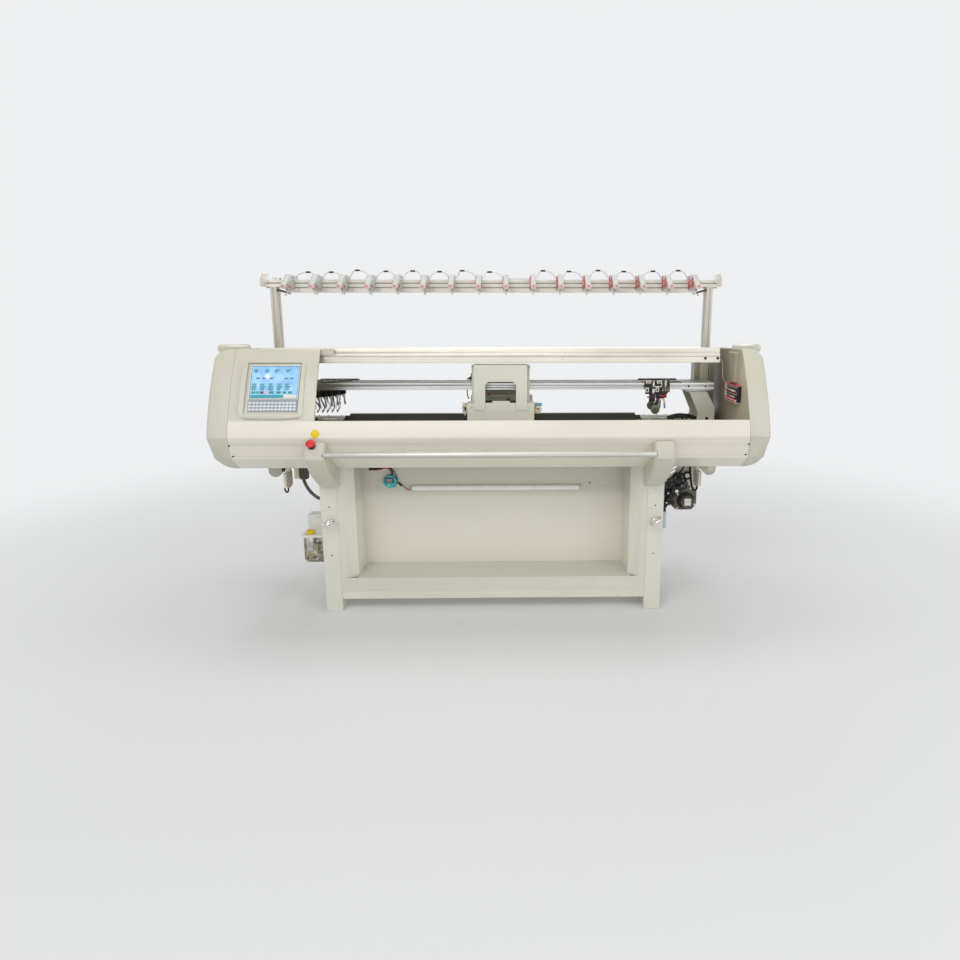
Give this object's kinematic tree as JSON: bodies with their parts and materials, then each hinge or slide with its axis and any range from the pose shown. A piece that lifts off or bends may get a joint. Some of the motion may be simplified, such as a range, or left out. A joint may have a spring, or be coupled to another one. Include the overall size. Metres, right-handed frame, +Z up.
{
  "type": "flat knitting machine",
  "caption": "Computerised flat knitting machine: V-bed and carriage in a rounded casing on two legs, with yarn rails, a tension bar above and a fabric bin below.",
  "frame": {"origin": "on the floor, under the middle of the gap between the needle beds", "axes": "+X along the needle beds to the operator's right, -Y towards the operator, +Z up"},
  "size_m": [2.417, 0.8806, 1.5964],
  "materials": {
    "stand_paint": "satin",
    "bin_paint": "satin",
    "casting_paint": "satin",
    "bed_steel": "ground",
    "end_plate_paint": "satin",
    "panel_cream": "satin",
    "shell_paint": "satin",
    "screen_glass": "gloss",
    "keypad_plastic": "matte",
    "terminal_plastic": "satin",
    "beam_paint": "satin",
    "rail_alloy": "satin",
    "tension_plastic": "satin",
    "lever_plastic": "gloss",
    "lead_white": "matte",
    "cable_rubber": "matte",
    "bar_chrome": "polished",
    "button_black": "matte",
    "button_red": "gloss",
    "roller_rubber": "matte",
    "gear_paint": "satin",
    "pulley_alloy": "satin",
    "fin_alloy": "satin",
    "lube_plastic": "satin",
    "tank_plastic": "gloss",
    "cap_yellow": "satin",
    "lamp_plastic": "gloss",
    "adapter_plastic": "satin",
    "belt_rubber": "matte",
    "carriage_paint": "satin",
    "carrier_steel": "polished"
  },
  "bodies": {
    "machine": {"left_stand": "stand_paint", "right_stand": "stand_paint", "cross_rails": "stand_paint", "fabric_bin": "bin_paint", "bed_base": "casting_paint", "rail_brackets": "casting_paint", "side_columns": "casting_paint", "front_needle_bed": "bed_steel", "guide_rails": "bed_steel", "bed_end_plates": "end_plate_paint", "front_panel": "panel_cream", "rear_panel": "panel_cream", "inner_end_panels": "panel_cream", "left_end_cap": "shell_paint", "right_end_cap": "shell_paint", "control_housing": "shell_paint", "bar_brackets": "shell_paint", "top_tubes": "shell_paint", "screen": "screen_glass", "keypad": "keypad_plastic", "terminal_blocks": "terminal_plastic", "top_beams": "beam_paint", "yarn_rails": "rail_alloy", "feed_posts": "rail_alloy", "feed_bar": "rail_alloy", "tension_housings": "tension_plastic", "tension_levers": "lever_plastic", "jumper_leads": "lead_white", "cable_looms": "cable_rubber", "eye_bolts": "bar_chrome", "stop_button_base": "button_black", "takedown_frame": "gear_paint", "takedown_motor": "gear_paint", "drive_motor": "gear_paint", "power_units": "fin_alloy", "lubricator_box": "lube_plastic", "lubricator_tank": "tank_plastic", "lamp_tube": "lamp_plastic", "lamp_adapter": "adapter_plastic", "drive_belt": "belt_rubber"},
    "carriage": {"carriage_front_box": "carriage_paint", "carriage_rear_box": "carriage_paint", "carriage_bridge": "carriage_paint", "carriage_cover": "carriage_paint"},
    "racking_bed": {"rear_needle_bed": "bed_steel"},
    "start_bar": {"operating_bar": "bar_chrome"},
    "stop_head": {"stop_button": "button_red"},
    "roller": {"takedown_roller": "roller_rubber"},
    "takedown_wheel": {"takedown_pulley": "pulley_alloy"},
    "drive_wheel": {"drive_pulley": "pulley_alloy"},
    "idler_wheel": {"idler_pulley": "pulley_alloy"},
    "oil_cap": {"lubricator_cap": "cap_yellow"},
    "carrier_1": {"yarn_carrier_1": "carrier_steel"},
    "carrier_2": {"yarn_carrier_2": "carrier_steel"},
    "carrier_3": {"yarn_carrier_3": "carrier_steel"},
    "carrier_4": {"yarn_carrier_4": "carrier_steel"},
    "carrier_5": {"yarn_carrier_5": "carrier_steel"},
    "carrier_6": {"yarn_carrier_6": "carrier_steel"},
    "carrier_7": {"yarn_carrier_7": "carrier_steel"},
    "carrier_8": {"yarn_carrier_8": "carrier_steel"}
  },
  "joints": [
    {"name": "carriage_travel", "type": "slide", "parent": "machine", "child": "carriage", "axis": [1, 0, 0], "range_m": [-0.74, 0.66]},
    {"name": "bed_racking", "type": "slide", "parent": "machine", "child": "racking_bed", "axis": [1, 0, 0], "range_m": [-0.025, 0.025]},
    {"name": "start_bar_turn", "type": "hinge", "parent": "machine", "child": "start_bar", "pos_m": [0, -0.424, 0.806], "axis": [1, 0, 0], "range_deg": [-20, 20]},
    {"name": "stop_press", "type": "slide", "parent": "machine", "child": "stop_head", "axis": [0, 0.7199, -0.6941], "range_m": [0, 0.005], "stiffness_N_per_m": 400},
    {"name": "roller_spin", "type": "hinge", "parent": "machine", "child": "roller", "pos_m": [0, 0, 0.739], "axis": [1, 0, 0], "continuous": true},
    {"name": "takedown_spin", "type": "hinge", "parent": "machine", "child": "takedown_wheel", "pos_m": [0.878, -0.084, 0.555], "axis": [0, 1, 0], "continuous": true},
    {"name": "drive_spin", "type": "hinge", "parent": "machine", "child": "drive_wheel", "pos_m": [1.056, 0.216, 0.842], "axis": [0, 1, 0], "continuous": true},
    {"name": "idler_spin", "type": "hinge", "parent": "machine", "child": "idler_wheel", "pos_m": [-1.056, 0.216, 0.842], "axis": [0, 1, 0], "continuous": true},
    {"name": "oil_cap_lift", "type": "slide", "parent": "machine", "child": "oil_cap", "axis": [0, 0, 1], "range_m": [0, 0.02]},
    {"name": "carrier_1_travel", "type": "slide", "parent": "machine", "child": "carrier_1", "axis": [1, 0, 0], "range_m": [-1.642, 0.07]},
    {"name": "carrier_2_travel", "type": "slide", "parent": "machine", "child": "carrier_2", "axis": [1, 0, 0], "range_m": [-0.004, 1.708]},
    {"name": "carrier_3_travel", "type": "slide", "parent": "machine", "child": "carrier_3", "axis": [1, 0, 0], "range_m": [-0.026, 1.686]},
    {"name": "carrier_4_travel", "type": "slide", "parent": "machine", "child": "carrier_4", "axis": [1, 0, 0], "range_m": [-0.048, 1.664]},
    {"name": "carrier_5_travel", "type": "slide", "parent": "machine", "child": "carrier_5", "axis": [1, 0, 0], "range_m": [-0.07, 1.642]},
    {"name": "carrier_6_travel", "type": "slide", "parent": "machine", "child": "carrier_6", "axis": [1, 0, 0], "range_m": [-0.092, 1.62]},
    {"name": "carrier_7_travel", "type": "slide", "parent": "machine", "child": "carrier_7", "axis": [1, 0, 0], "range_m": [-1.652, 0.06]},
    {"name": "carrier_8_travel", "type": "slide", "parent": "machine", "child": "carrier_8", "axis": [1, 0, 0], "range_m": [-0.114, 1.598]}
  ],
  "couplings": [
    {"joint": "drive_spin", "follows": "carriage_travel", "rad_per_m": 38.023},
    {"joint": "idler_spin", "follows": "carriage_travel", "rad_per_m": 38.023},
    {"joint": "takedown_spin", "follows": "roller_spin", "ratio": 3}
  ]
}
